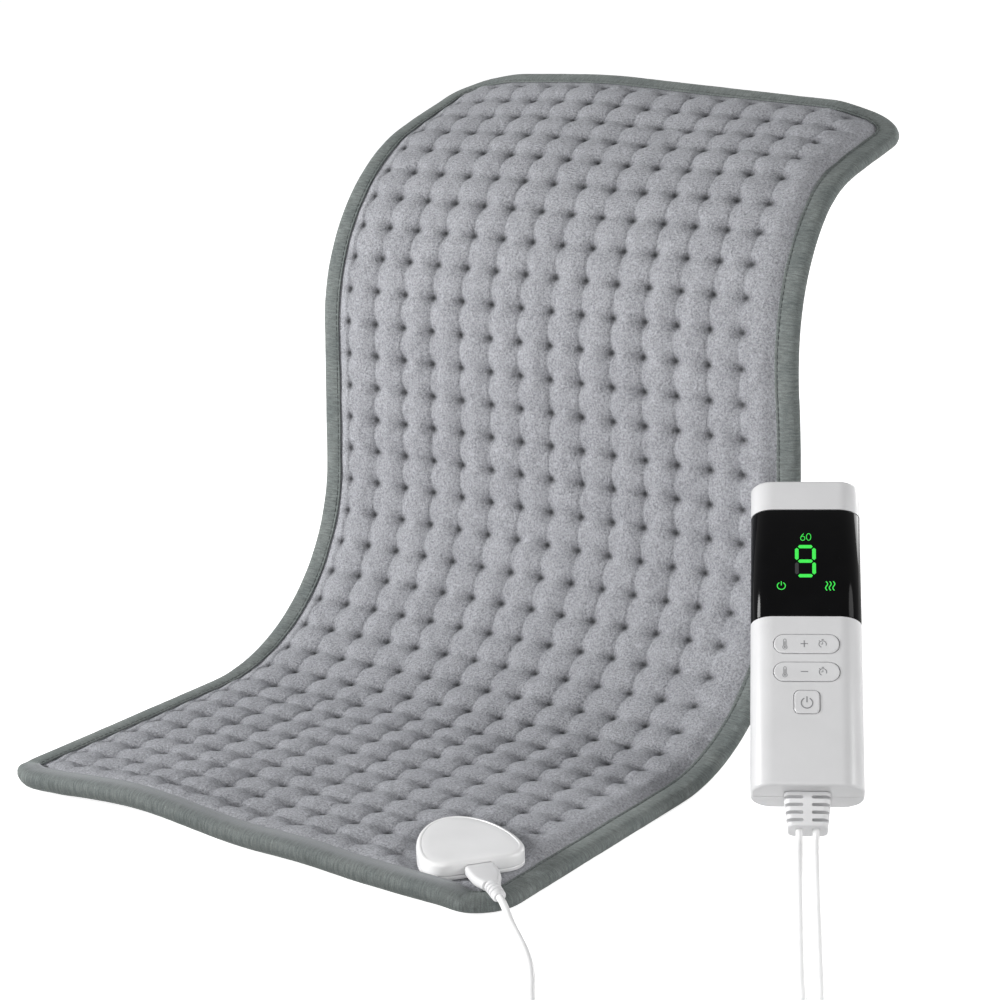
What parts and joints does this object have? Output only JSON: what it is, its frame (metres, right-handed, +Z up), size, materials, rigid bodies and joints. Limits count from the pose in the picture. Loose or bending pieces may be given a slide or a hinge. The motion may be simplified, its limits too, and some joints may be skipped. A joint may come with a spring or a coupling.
{
  "type": "heating pad with controller",
  "caption": "Quilted fleece heating pad draped in a seat-and-back curve, with a plug-in lead and a hand controller that has a display, rocker keys and a power key.",
  "frame": {"origin": "middle of the flat underside of the pad that lies on a seat", "axes": "+X to the right seen from the front, +Y to the back, +Z up; -Z points out of the flat underside"},
  "size_m": [0.5767, 0.5903, 0.3164],
  "materials": {
    "fleece_grey": "velvety",
    "binding_grey": "ribbed",
    "felt_white": "felted",
    "wire_sleeve": "matt",
    "white_plastic": "satin",
    "white_rubber": "satin",
    "cord_white": "satin",
    "black_plastic": "matt",
    "black_gloss": "gloss",
    "board_green": "satin",
    "steel": "satin",
    "brass": "satin"
  },
  "bodies": {
    "pad": {"front_fleece": "fleece_grey", "back_fleece": "fleece_grey", "felt_core": "felt_white", "heating_wire": "wire_sleeve", "edge_binding": "binding_grey", "thermal_cutout": "steel", "socket_base": "white_plastic", "socket_cover": "white_plastic", "socket_pin_1": "brass", "socket_pin_2": "brass", "pad_lead_plug_end": "cord_white", "pad_lead_controller_end": "cord_white", "mains_lead": "cord_white", "mains_coil": "cord_white", "coil_tie": "black_plastic", "mains_tail": "cord_white", "mains_plug_body": "white_rubber", "mains_plug_boot": "white_rubber", "mains_plug_blade_1": "brass", "mains_plug_blade_2": "brass"},
    "pad_plug": {"plug_body": "white_rubber", "plug_boot": "white_rubber", "plug_contact_1": "brass", "plug_contact_2": "brass"},
    "controller": {"front_shell": "white_plastic", "rear_shell": "white_plastic", "display_lens": "black_gloss", "display_module": "black_plastic", "circuit_board": "board_green", "relay": "black_plastic", "capacitor": "black_plastic", "plus_heat_switch": "black_plastic", "plus_time_switch": "black_plastic", "minus_heat_switch": "black_plastic", "minus_time_switch": "black_plastic", "power_switch": "black_plastic", "housing_screw_1": "steel", "housing_screw_2": "steel", "housing_screw_3": "steel", "housing_screw_4": "steel", "cord_clamp": "black_plastic", "strain_relief": "white_rubber"},
    "plus_rocker": {"plus_rocker": "white_plastic"},
    "minus_rocker": {"minus_rocker": "white_plastic"},
    "power_key": {"power_key": "white_plastic"}
  },
  "joints": [
    {"name": "plug_pull", "type": "slide", "parent": "pad", "child": "pad_plug", "axis": [0.788, -0.6157, 0], "range_m": [0, 0.016], "deforming": ["pad_lead_plug_end"]},
    {"name": "controller_lift", "type": "slide", "parent": "pad", "child": "controller", "axis": [0.3536, -0.6124, 0.7071], "range_m": [0, 0.06], "deforming": ["pad_lead_controller_end", "mains_lead"]},
    {"name": "plus_rocker_tilt", "type": "hinge", "parent": "controller", "child": "plus_rocker", "pos_m": [0.19901, 0.123, 0.07653], "axis": [-0.3536, 0.6124, 0.7071], "range_deg": [-2.5, 2.5], "stiffness_Nm_per_rad": 0.5},
    {"name": "minus_rocker_tilt", "type": "hinge", "parent": "controller", "child": "minus_rocker", "pos_m": [0.20425, 0.11393, 0.06606], "axis": [-0.3536, 0.6124, 0.7071], "range_deg": [-2.5, 2.5], "stiffness_Nm_per_rad": 0.5},
    {"name": "power_key_press", "type": "slide", "parent": "controller", "child": "power_key", "axis": [-0.3536, 0.6124, -0.7071], "range_m": [0, 0.0006], "stiffness_N_per_m": 3000}
  ]
}
